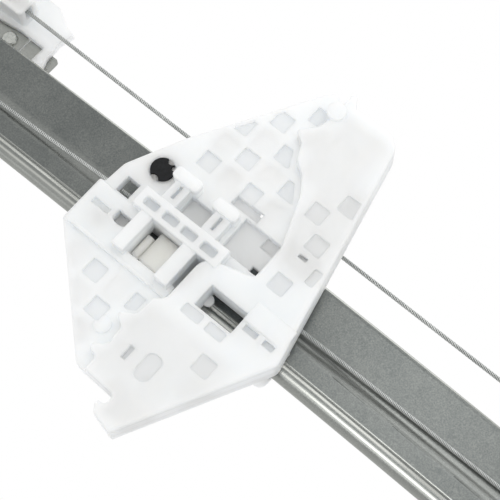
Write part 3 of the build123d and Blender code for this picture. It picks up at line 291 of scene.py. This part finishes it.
# ---------------------------------------------------------------- rubber button
# The bumper is a black rubber button, moulded with two wide notches and a small one and
# pulled through its hole from behind until its collar stops it.  Rubber is matt, and
# faintly grey in specks of a millimetre where it has been handled.
rubber, tree, shader = start_material("moulded_black_rubber")
place = add(tree, "ShaderNodeTexCoord").outputs["Object"]
bloom = add(tree, "ShaderNodeTexNoise", {"Scale": 900.0, "Detail": 5.0}, Vector=place)
tree.links.new(ramp(tree, bloom.outputs["Fac"], [(0.35, "#0F1011"), (0.7, "#1C1D1F")]),
               shader.inputs["Base Color"])
shader.inputs["Roughness"].default_value = 0.62
shader.inputs["Specular IOR Level"].default_value = 0.25
bump = add(tree, "ShaderNodeBump", {"Strength": 0.25, "Distance": 0.0001},
           Height=bloom.outputs["Fac"])
tree.links.new(bump.outputs["Normal"], shader.inputs["Normal"])
BUTTON_X, BUTTON_Z, BUTTON_RADIUS, COLLAR_RADIUS = 0.0110, 0.0370, 0.00415, 0.0053
BUTTON_FRONT, COLLAR_FRONT, BUTTON_BACK = -0.0527, -0.04735, -0.0459
# Each notch is a round cut: its bearing in degrees, how far out it lies, and its radius.
NOTCHES = ((-9, 0.0043, 0.00155), (176, 0.00475, 0.0020), (-48, 0.0038, 0.00095))
OVERCUT = 0.001
MOULDED_EDGE, KEY_EDGE = 0.00035, 0.0002
SHARP = math.radians(40)
BUTTON_SIDES, NOTCH_SIDES = 64, 32


def round_bar(x, z, radius, front, back, sides):
    """A bar along the line of sight on to the rail, from its front to its back."""
    bpy.ops.mesh.primitive_cylinder_add(vertices=sides, radius=radius, depth=back - front,
                                        location=(x, (front + back) / 2, z),
                                        rotation=(math.pi / 2, 0, 0))
    bar = bpy.context.active_object
    bpy.ops.object.transform_apply(location=True, rotation=True, scale=True)
    return bar


def apply_modifier(piece, kind, **settings):
    """One modifier added to a piece and applied."""
    bpy.context.view_layer.objects.active = piece
    modifier = piece.modifiers.new(kind.lower(), kind)
    for key, value in settings.items():
        setattr(modifier, key, value)
    bpy.ops.object.modifier_apply(modifier=modifier.name)


# The round's back face is spread into the collar and drawn out to the collar's back.
button = round_bar(BUTTON_X, BUTTON_Z, BUTTON_RADIUS, BUTTON_FRONT, COLLAR_FRONT, BUTTON_SIDES)
bpy.ops.object.mode_set(mode="EDIT")
bpy.ops.mesh.select_all(action="DESELECT")
bpy.ops.mesh.select_mode(type="FACE")
shape = bmesh.from_edit_mesh(button.data)
for face in shape.faces:
    face.select = face.normal.y > 0.9
bmesh.update_edit_mesh(button.data)
bpy.ops.mesh.extrude_region_move()
collar_scale = COLLAR_RADIUS / BUTTON_RADIUS
bpy.ops.transform.resize(value=(collar_scale, 1, collar_scale),
                         center_override=(BUTTON_X, COLLAR_FRONT, BUTTON_Z))
bpy.ops.mesh.extrude_region_move(
    TRANSFORM_OT_translate={"value": (0, BUTTON_BACK - COLLAR_FRONT, 0)})
bpy.ops.object.mode_set(mode="OBJECT")
for angle, reach, radius in NOTCHES:
    turn = math.radians(angle)
    cutter = round_bar(BUTTON_X + reach * math.cos(turn), BUTTON_Z + reach * math.sin(turn),
                       radius, BUTTON_FRONT - OVERCUT, BUTTON_BACK + OVERCUT, NOTCH_SIDES)
    apply_modifier(button, "BOOLEAN", object=cutter, operation="DIFFERENCE", solver="EXACT")
    bpy.data.objects.remove(cutter)
apply_modifier(button, "BEVEL", width=MOULDED_EDGE, segments=3, limit_method="ANGLE",
               angle_limit=SHARP)
bpy.ops.object.shade_smooth_by_angle(angle=SHARP)
button.name = "rubber_button"
button.data.materials.clear()
button.data.materials.append(rubber)
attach(button, "carrier")
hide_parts("bumper")
button.select_set(False)

# Short keys of the carrier's moulding fill the notches and stop the button from turning.
KEY_FRONT, KEY_BACK, KEY_GAP = -0.05195, -0.0480, 0.00006
keys = []
for angle, reach, radius in NOTCHES:
    turn = math.radians(angle)
    key = round_bar(BUTTON_X + reach * math.cos(turn), BUTTON_Z + reach * math.sin(turn),
                    radius - KEY_GAP, KEY_FRONT, KEY_BACK, NOTCH_SIDES)
    apply_modifier(key, "BEVEL", width=KEY_EDGE, segments=2, limit_method="ANGLE",
                   angle_limit=SHARP)
    keys.append(key)
for key in keys:
    key.select_set(True)
bpy.context.view_layer.objects.active = keys[0]
bpy.ops.object.join()
bpy.ops.object.shade_smooth_by_angle(angle=SHARP)
keys[0].name = "button_keys"
keys[0].data.materials.clear()
# The keys take the carrier's acetal, with its painted floor shade.
keys[0].data.materials.append(shaded_carrier_acetal)
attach(keys[0], "carrier")
keys[0].select_set(False)

# ---------------------------------------------------------------- rope ends and springs
# Rope ends are zinc cast on to the wires, dull and grained at under a millimetre; the
# tension springs behind them are drawn spring wire, dark, with oil in films of 1 mm.
cast, tree, shader = start_material("cast_zinc")
place = add(tree, "ShaderNodeTexCoord").outputs["Object"]
skin = add(tree, "ShaderNodeTexNoise", {"Scale": 1400.0, "Detail": 4.0}, Vector=place)
tree.links.new(ramp(tree, skin.outputs["Fac"], [(0.3, "#9FA2A4"), (0.7, "#B9BBBC")]),
               shader.inputs["Base Color"])
shader.inputs["Metallic"].default_value = 1.0
shader.inputs["Roughness"].default_value = 0.42
for name in ("lower_nipple", "upper_nipple"):
    finish_node(name, cast)

drawn, tree, shader = start_material("drawn_spring_wire")
place = add(tree, "ShaderNodeTexCoord").outputs["Object"]
oil = add(tree, "ShaderNodeTexNoise", {"Scale": 1100.0, "Detail": 3.0}, Vector=place)
tree.links.new(ramp(tree, oil.outputs["Fac"], [(0.3, "#5E6060"), (0.7, "#7C7E7D")]),
               shader.inputs["Base Color"])
shader.inputs["Metallic"].default_value = 1.0
shader.inputs["Roughness"].default_value = 0.3
for name in ("lower_tension_spring", "upper_tension_spring"):
    finish_node(name, drawn)

# ---------------------------------------------------------------- wire ropes
# Each rope is galvanised wire, 1.5 mm thick: six strands laid round a core, one turn in
# 8.5 mm.  Each strand is painted darker where it turns in towards the core and lighter on its
# crown: painted shade between the strands and painted light on their crowns.  Grease darkens it
# further in patches of 4 mm.
ROPE_RADIUS = 0.00075
STRANDS, STRAND_SIDES, STRAND_SHARE = 6, 6, 0.335
LAY, LAY_STEP = 0.0085, 0.0006

# The rail's face is bowed, and a pulley turns at each end of its arc on a seat that leans
# by END_TILT degrees, with its groove a little over the face.
RAIL_RADIUS, RAIL_FACE = 1.450, 0.040
END_ARC, END_TILT = 0.220, 3.0
PULLEY_RADIUS, GROOVE_HEIGHT = 0.01425, 0.0035


def on_rail(arc, tilt, x, y, z):
    """A place given across, up and out of the rail's face at some arc along it."""
    a, t = arc / RAIL_RADIUS, math.radians(tilt)
    foot = Vector((0, RAIL_RADIUS * (1 - math.cos(a)) - RAIL_FACE, RAIL_RADIUS * math.sin(a)))
    return foot + Vector((x, y * math.sin(t) - z * math.cos(t),
                          y * math.cos(t) + z * math.sin(t)))


def route_points(points, handles=None):
    """Points read from a rope's route: a spline that is smooth round the pulleys."""
    curve = bpy.data.curves.new("route", "CURVE")
    curve.dimensions = "3D"
    curve.resolution_u = 48
    if handles:
        spline = curve.splines.new("BEZIER")
        spline.bezier_points.add(len(points) - 1)
        for knot, point, (before, after) in zip(spline.bezier_points, points, handles):
            knot.co = point
            knot.handle_left_type = knot.handle_right_type = "FREE"
            knot.handle_left = before
            knot.handle_right = after
    else:
        spline = curve.splines.new("NURBS")
        spline.points.add(len(points) - 1)
        for knot, point in zip(spline.points, points):
            knot.co = (*point, 1)
        spline.order_u = 3
        spline.use_endpoint_u = True
    route = bpy.data.objects.new("route", curve)
    bpy.context.scene.collection.objects.link(route)
    mesh = bpy.data.meshes.new_from_object(route)
    laid = [v.co.copy() for v in mesh.vertices]
    bpy.data.objects.remove(route)
    bpy.data.curves.remove(curve)
    bpy.data.meshes.remove(mesh)
    return laid


def even_steps(laid, step):
    """The same route with its points a fixed step apart."""
    out, carried = [laid[0]], 0.0
    for a, b in zip(laid, laid[1:]):
        length = (b - a).length
        while carried + length >= step and length > 0:
            a = a.lerp(b, (step - carried) / length)
            out.append(a)
            length = (b - a).length
            carried = 0.0
        carried += length
    return out + [laid[-1]]


def strand_rope(name, laid):
    """Six round strands twisted along a route, as one piece."""
    path = even_steps(laid, LAY_STEP)
    normal = (path[1] - path[0]).orthogonal().normalized()
    shape = bmesh.new()
    core, strand = ROPE_RADIUS * (1 - STRAND_SHARE), ROPE_RADIUS * STRAND_SHARE
    rings = [[] for _ in range(STRANDS)]
    gone = 0.0
    lay_slot = shape.loops.layers.uv.new("lay")
    for i, point in enumerate(path):
        ahead = (path[min(i + 1, len(path) - 1)] - path[max(i - 1, 0)]).normalized()
        normal = (normal - ahead * normal.dot(ahead)).normalized()
        side = ahead.cross(normal)
        if i:
            gone += (point - path[i - 1]).length
        for k in range(STRANDS):
            turn = 2 * math.pi * (gone / LAY + k / STRANDS)
            out = normal * math.cos(turn) + side * math.sin(turn)
            middle = point + out * core
            beside = ahead.cross(out)
            corners = [2 * math.pi * j / STRAND_SIDES for j in range(STRAND_SIDES)]
            rings[k].append([
                shape.verts.new(middle + strand * (out * math.cos(w) + beside * math.sin(w)))
                for w in corners])
    for k in range(STRANDS):
        for i, (low, high) in enumerate(zip(rings[k], rings[k][1:])):
            for j in range(STRAND_SIDES):
                following = (j + 1) % STRAND_SIDES
                face = shape.faces.new((low[j], low[following], high[following], high[j]))
                face.smooth = True
                for loop in face.loops:
                    loop[lay_slot].uv = ((j + 0.5) / STRAND_SIDES, i * LAY_STEP)
        shape.faces.new(reversed(rings[k][0]))
        shape.faces.new(rings[k][-1])
    mesh = bpy.data.meshes.new(name)
    bmesh.ops.recalc_face_normals(shape, faces=shape.faces)
    shape.to_mesh(mesh)
    shape.free()
    rope = bpy.data.objects.new(name, mesh)
    bpy.context.scene.collection.objects.link(rope)
    mesh.materials.append(wire)
    return rope


wire, tree, shader = start_material("galvanised_wire_rope_painted_shade")
place = add(tree, "ShaderNodeTexCoord").outputs["Object"]
lay = add(tree, "ShaderNodeUVMap", {"uv_map": "lay"})
round_strand = add(tree, "ShaderNodeSeparateXYZ", Vector=lay.outputs["UV"])
# Painted shade: this rises where a strand turns in towards the core, so the ramp paints the strands
# dark between them and light on their crowns.
core_side_shade = add(tree, "ShaderNodeMath", {"operation": "PINGPONG", 1: 0.5})
tree.links.new(round_strand.outputs["X"], core_side_shade.inputs[0])
grease = add(tree, "ShaderNodeTexNoise", {"Scale": 260.0, "Detail": 5.0}, Vector=place)
grease_and_strand_shade = add(tree, "ShaderNodeMath", {"operation": "MULTIPLY_ADD", 1: 0.25})
tree.links.new(grease.outputs["Fac"], grease_and_strand_shade.inputs[0])
tree.links.new(core_side_shade.outputs[0], grease_and_strand_shade.inputs[2])
tree.links.new(
    ramp(tree, grease_and_strand_shade.outputs[0], [(0.16, "#D3D5D3"), (0.34, "#A9ACAA"), (0.52, "#646766")]),
    shader.inputs["Base Color"])
tree.links.new(ramp(tree, grease.outputs["Fac"], [(0.3, 0.30), (0.7, 0.45)]),
               shader.inputs["Roughness"])
shader.inputs["Metallic"].default_value = 0.95

# Lengths held beside and over the rail: drum to lower pulley, and drum to upper pulley.
# One leaves the drum's first groove and the other its last, both straight for DRUM_LEAD.
LOWER_PULLEY_X, UPPER_PULLEY_X, PULLEY_ALONG = 0.01845, 0.00905, 0.025
DRUM_RADIUS, DRUM_TILT, DRUM_ARC = 0.024, 3.0, 0.158
drum_x = LOWER_PULLEY_X + PULLEY_RADIUS + DRUM_RADIUS
FIRST_GROOVE, LAST_GROOVE = -0.0011, -0.0083
DRUM_LEAD = 0.007


def around_pulley(arc, tilt, x, along, from_angle, to_angle):
    """Three Bezier knots evenly round a pulley's groove, and the handles that keep it round."""
    step = math.radians((to_angle - from_angle) / 2)
    reach = 4 / 3 * math.tan(step / 4) * PULLEY_RADIUS
    knots, handles = [], []
    for i in range(3):
        angle = math.radians(from_angle) + i * step
        c, s = math.cos(angle), math.sin(angle)
        px, py = x + PULLEY_RADIUS * c, along + PULLEY_RADIUS * s
        knots.append(on_rail(arc, tilt, px, py, GROOVE_HEIGHT))
        handles.append((on_rail(arc, tilt, px + reach * s, py - reach * c, GROOVE_HEIGHT),
                        on_rail(arc, tilt, px - reach * s, py + reach * c, GROOVE_HEIGHT)))
    return knots, handles


def straight_then_round(first, second, knots, handles):
    """A straight run joined to a turn, with the handles of the run on its line."""
    runs = [first, second] + knots
    lead = knots[0]
    spans = [(first, first.lerp(second, 1 / 3)),
             (second.lerp(first, 1 / 3), second.lerp(lead, 1 / 3)),
             (lead.lerp(second, 1 / 3), handles[0][1])]
    return route_points(runs, spans + handles[1:])


knots, handles = around_pulley(-END_ARC, -END_TILT, LOWER_PULLEY_X, -PULLEY_ALONG, 0, -180)
down = straight_then_round(
    on_rail(DRUM_ARC, DRUM_TILT, drum_x - DRUM_RADIUS, 0, FIRST_GROOVE),
    on_rail(DRUM_ARC, DRUM_TILT, drum_x - DRUM_RADIUS, -DRUM_LEAD, FIRST_GROOVE),
    knots, handles)
down_rope = strand_rope("down_rope_strands", down)
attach(down_rope, "frame")
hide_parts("down_rope")

drum = on_rail(DRUM_ARC, DRUM_TILT, drum_x, 0, LAST_GROOVE)
pulley = on_rail(END_ARC, END_TILT, UPPER_PULLEY_X, PULLEY_ALONG, GROOVE_HEIGHT)
gap_x, gap_z = pulley.x - drum.x, pulley.z - drum.z
turn = math.acos((DRUM_RADIUS + PULLEY_RADIUS) / math.hypot(gap_x, gap_z))
leave = math.atan2(gap_z, gap_x) + turn
lx, ly = math.cos(leave), math.sin(leave)
knots, handles = around_pulley(END_ARC, END_TILT, UPPER_PULLEY_X, PULLEY_ALONG,
                               math.degrees(leave) - 180, 180)
up = straight_then_round(
    on_rail(DRUM_ARC, DRUM_TILT, drum_x + DRUM_RADIUS * lx, DRUM_RADIUS * ly, LAST_GROOVE),
    on_rail(DRUM_ARC, DRUM_TILT, drum_x + DRUM_RADIUS * lx + DRUM_LEAD * ly,
            DRUM_RADIUS * ly - DRUM_LEAD * lx, LAST_GROOVE),
    knots, handles)
up_rope = strand_rope("up_rope_strands", up)
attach(up_rope, "frame")
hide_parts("up_rope")

# Lengths from each pulley to the carrier: they lie just over the bowed face and end in
# the zinc rope ends, so they shorten and lengthen as the carrier travels.
inner_low = on_rail(-END_ARC, -END_TILT, LOWER_PULLEY_X - PULLEY_RADIUS, -PULLEY_ALONG,
                    GROOVE_HEIGHT)
inner_high = on_rail(END_ARC, END_TILT, UPPER_PULLEY_X - PULLEY_RADIUS, PULLEY_ALONG,
                     GROOVE_HEIGHT)
REST_HEIGHT, CHAMBER_HEIGHT, CHAMBER_MIDDLE = 0.0024, 0.0044, 0.0172
# Each leaves its rope end, then the carrier's edge; from there it comes down to the rail
# over the first MEETS and lies along it from LIES on.
LOWER_RUN, UPPER_RUN = (0.0112, -0.0016), (0.0230, 0.0360)
MEETS, LIES = 0.055, 0.125


def inner_at(z, height):
    """A place on the inner ropes' line: z up the rail, and a height over its face."""
    share = (z - inner_low.z) / (inner_high.z - inner_low.z)
    spot = on_rail(RAIL_RADIUS * math.asin(z / RAIL_RADIUS), 0, 0, 0, 0)
    return Vector((inner_low.x + share * (inner_high.x - inner_low.x), spot.y - height, z))


for name, node, (inside, edge), tangent in (
        ("lower_inner_strands", "lower_inner_rope", LOWER_RUN, inner_low),
        ("upper_inner_strands", "upper_inner_rope", UPPER_RUN, inner_high)):
    sign = 1 if tangent.z > 0 else -1
    chamber_x = inner_at(CHAMBER_MIDDLE, 0).x
    knots = [Vector((chamber_x, -RAIL_FACE - CHAMBER_HEIGHT, inside)),
             Vector((chamber_x, -RAIL_FACE - CHAMBER_HEIGHT, edge)),
             inner_at(edge + sign * MEETS, REST_HEIGHT),
             inner_at(edge + sign * LIES, REST_HEIGHT), tangent]
    rope = strand_rope(name, route_points(knots))
    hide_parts(node)
    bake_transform(rope)

# Turns that stay on the drum: the same rope, wound as one spiral in the drum's grooves.
GROOVE_PITCH, TURNS, TURN_STEPS = 0.0018, 3, 24
spiral = []
for i in range(TURN_STEPS * TURNS + 1):
    angle = 2 * math.pi * i / TURN_STEPS
    depth = FIRST_GROOVE - GROOVE_PITCH * (1 + i * (TURNS - 1) / (TURN_STEPS * TURNS))
    spiral.append(on_rail(DRUM_ARC, DRUM_TILT, drum_x + DRUM_RADIUS * math.cos(angle),
                          DRUM_RADIUS * math.sin(angle), depth))
winding = strand_rope("winding_strands", spiral)
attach(winding, "drum")
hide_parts("drum_winding")

# ---------------------------------------------------------------- studio
# A pale floor under the lower foot, a white surround and five broad soft lamps: plain
# light in which each finish shows at its own colour.
FLOOR_SIZE, FLOOR_LEVEL = 6.0, -0.2930
bpy.ops.mesh.primitive_plane_add(size=FLOOR_SIZE, location=(0, 0, FLOOR_LEVEL))
floor = bpy.context.active_object
floor.name = "studio_floor"
paper, tree, shader = start_material("studio_paper")
place = add(tree, "ShaderNodeTexCoord").outputs["Object"]
fibre = add(tree, "ShaderNodeTexNoise", {"Scale": 30.0, "Detail": 3.0}, Vector=place)
tree.links.new(ramp(tree, fibre.outputs["Fac"], [(0.3, "#EDEDED"), (0.7, "#F2F2F2")]),
               shader.inputs["Base Color"])
shader.inputs["Roughness"].default_value = 0.9
floor.data.materials.append(paper)

# The surround is full white where it is seen or mirrored, and a little less as light.
SURROUND_LIGHT, SURROUND_SEEN = 0.84, 1.0
world = bpy.data.worlds.new("white_surround")
bpy.context.scene.world = world
world.use_nodes = True
tree = world.node_tree
rays = add(tree, "ShaderNodeLightPath")
seen = add(tree, "ShaderNodeMath", {"operation": "MAXIMUM"})
tree.links.new(rays.outputs["Is Camera Ray"], seen.inputs[0])
tree.links.new(rays.outputs["Is Transmission Ray"], seen.inputs[1])
mirrored = add(tree, "ShaderNodeMath", {"operation": "MAXIMUM"})
tree.links.new(seen.outputs[0], mirrored.inputs[0])
tree.links.new(rays.outputs["Is Glossy Ray"], mirrored.inputs[1])
level = add(tree, "ShaderNodeMapRange", {"To Min": SURROUND_LIGHT, "To Max": SURROUND_SEEN},
            Value=mirrored.outputs[0])
surround = tree.nodes["Background"]
surround.inputs["Color"].default_value = (1, 1, 1, 1)
tree.links.new(level.outputs[0], surround.inputs["Strength"])


def soft_lamp(name, place, target, size, watts):
    """A square soft box aimed at a point."""
    lamp = bpy.data.lights.new(name, "AREA")
    lamp.size = size
    lamp.energy = watts
    stand = bpy.data.objects.new(name, lamp)
    stand.location = place
    stand.rotation_euler = (Vector(target) - Vector(place)).to_track_quat("-Z", "Y").to_euler()
    bpy.context.scene.collection.objects.link(stand)


soft_lamp("key_soft_box", (-0.8, -1.1, 1.0), (0, -0.04, 0), 0.9, 1.3)
soft_lamp("front_soft_box", (0.32, -1.15, -0.16), (0, -0.04, -0.04), 0.50, 1.9)
soft_lamp("side_soft_box", (1.2, 0.05, 0.3), (0, -0.04, 0), 0.7, 1.4)
soft_lamp("low_side_soft_box", (0.97, -0.64, -0.22), (0, -0.04, -0.10), 0.45, 1.4)
soft_lamp("rim_soft_box", (0.2, 1.1, 0.9), (0, -0.02, 0), 1.0, 3.0)
bpy.context.scene.view_settings.view_transform = "Standard"
